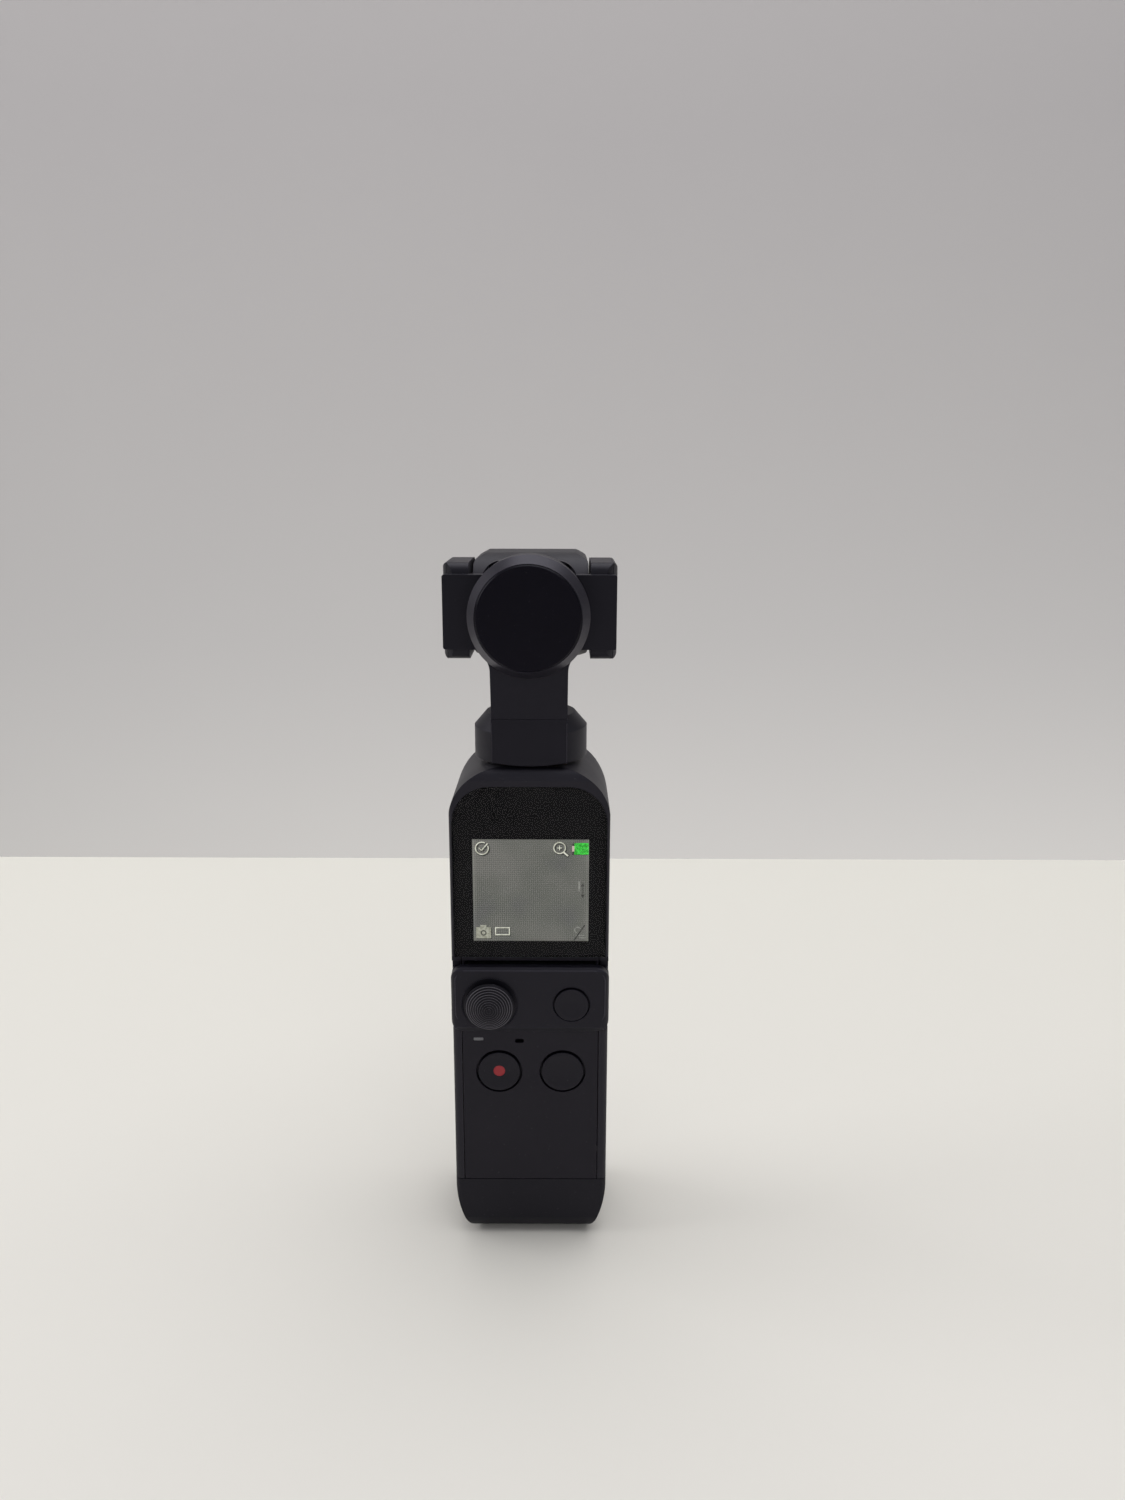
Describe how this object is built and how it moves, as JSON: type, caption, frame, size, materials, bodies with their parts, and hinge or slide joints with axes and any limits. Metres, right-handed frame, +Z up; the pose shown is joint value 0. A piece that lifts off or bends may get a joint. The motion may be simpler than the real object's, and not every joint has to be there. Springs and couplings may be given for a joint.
{
  "type": "pocket gimbal camera",
  "caption": "Hand-held camera on a motorised gimbal: slim handle with screen and buttons, slide-on stick module, turning arm, yoke and tilting camera head.",
  "frame": {"origin": "centre of the handle's flat base face, on the pan axis", "axes": "+Z up along the handle, +Y from the screen side to the lens side, +X to the right seen from the screen side"},
  "size_m": [0.0298, 0.0388, 0.1251],
  "materials": {
    "soft_black_shell": "fine moulded grain, soft touch",
    "inner_black": "plain moulded",
    "button_plate_black": "fine satin",
    "cap_black": "satin",
    "record_red": "gloss",
    "module_black": "satin",
    "stick_rubber": "satin rubber",
    "screen_glass": "polished",
    "display": "emissive panel",
    "light_pipe": "frosted",
    "rail_metal": "brushed",
    "gold_contact": "gold plated",
    "circuit_board": "solder mask",
    "battery_foil": "foil wrap",
    "motor_alloy": "turned",
    "motor_steel": "turned",
    "bearing_steel": "ground",
    "copper_wire": "enamelled",
    "magnet": "nickel plated",
    "gimbal_black": "anodised, fine grain",
    "gimbal_cap_black": "satin",
    "bezel_grey": "anodised satin",
    "disc_black": "semi gloss",
    "camera_black": "satin",
    "lens_ring_black": "anodised",
    "lens_glass": "coated",
    "sensor": "glossy"
  },
  "bodies": {
    "handle": {"rear_shell": "soft_black_shell", "neck_block": "inner_black", "front_frame": "inner_black", "button_plate": "button_plate_black", "screen_glass": "screen_glass", "display_panel": "display", "led_window": "light_pipe", "port_rails": "rail_metal", "port_contacts": "gold_contact", "button_board": "circuit_board", "main_board": "circuit_board", "mid_frame": "rail_metal", "battery": "battery_foil", "card_socket": "rail_metal", "usb_socket": "rail_metal", "pan_motor_base": "motor_alloy", "pan_stator": "motor_steel", "pan_coils": "copper_wire", "pan_bearings": "bearing_steel", "handle_screws": "bearing_steel"},
    "base_cover": {"base_cover": "soft_black_shell"},
    "record_button": {"record_button": "cap_black", "record_dot": "record_red"},
    "power_button": {"power_button": "cap_black"},
    "control_module": {"module_housing": "module_black", "module_board": "circuit_board", "module_contacts": "gold_contact"},
    "stick_cradle": {"stick_cradle": "motor_alloy"},
    "stick": {"stick_stem": "motor_alloy", "stick_cap": "stick_rubber"},
    "module_button": {"module_button": "cap_black"},
    "arm": {"arm_frame": "gimbal_black", "arm_cover": "gimbal_black", "pan_rotor": "motor_steel", "pan_magnets": "magnet", "roll_bezel": "bezel_grey", "roll_cover": "disc_black", "roll_motor_base": "motor_alloy", "roll_stator": "motor_steel", "roll_coils": "copper_wire", "roll_bearings": "bearing_steel"},
    "yoke": {"yoke_frame": "gimbal_black", "roll_rotor": "motor_steel", "roll_magnets": "magnet", "motor_cap": "gimbal_cap_black", "bearing_cap": "gimbal_cap_black", "tilt_stator": "motor_steel", "tilt_coils": "copper_wire", "tilt_bearings": "bearing_steel"},
    "camera": {"camera_shell": "camera_black", "camera_front": "camera_black", "lens_ring": "lens_ring_black", "lens_glass": "lens_glass", "lens_barrel": "inner_black", "lens_elements": "lens_glass", "image_sensor": "sensor", "sensor_board": "circuit_board", "tilt_rotor": "motor_steel", "tilt_magnets": "magnet"}
  },
  "joints": [
    {"name": "pan", "type": "hinge", "parent": "handle", "child": "arm", "pos_m": [0, 0, 0.09], "axis": [0, 0, 1], "range_deg": [-250, 90]},
    {"name": "roll", "type": "hinge", "parent": "arm", "child": "yoke", "pos_m": [0, -0.005, 0.115], "axis": [0, 1, 0], "range_deg": [-90, 90]},
    {"name": "tilt", "type": "hinge", "parent": "yoke", "child": "camera", "pos_m": [0, 0.009, 0.115], "axis": [1, 0, 0], "range_deg": [-100, 70]},
    {"name": "base_pull", "type": "slide", "parent": "handle", "child": "base_cover", "axis": [0, 0, -1], "range_m": [0, 0.014]},
    {"name": "record_press", "type": "slide", "parent": "handle", "child": "record_button", "axis": [0, 1, 0], "range_m": [0, 0.00035], "stiffness_N_per_m": 900, "springref_m": -0.0004},
    {"name": "power_press", "type": "slide", "parent": "handle", "child": "power_button", "axis": [0, 1, 0], "range_m": [0, 0.00035], "stiffness_N_per_m": 900, "springref_m": -0.0004},
    {"name": "module_slide", "type": "slide", "parent": "handle", "child": "control_module", "axis": [1, 0, 0], "range_m": [0, 0.028]},
    {"name": "stick_up_down", "type": "hinge", "parent": "control_module", "child": "stick_cradle", "pos_m": [-0.00705, -0.0108, 0.0472], "axis": [1, 0, 0], "range_deg": [-8, 8], "stiffness_Nm_per_rad": 0.004},
    {"name": "stick_left_right", "type": "hinge", "parent": "stick_cradle", "child": "stick", "pos_m": [-0.00705, -0.0108, 0.0472], "axis": [0, 0, 1], "range_deg": [-8, 8], "stiffness_Nm_per_rad": 0.004},
    {"name": "module_press", "type": "slide", "parent": "control_module", "child": "module_button", "axis": [0, 1, 0], "range_m": [0, 0.0003], "stiffness_N_per_m": 900, "springref_m": -0.0004}
  ]
}
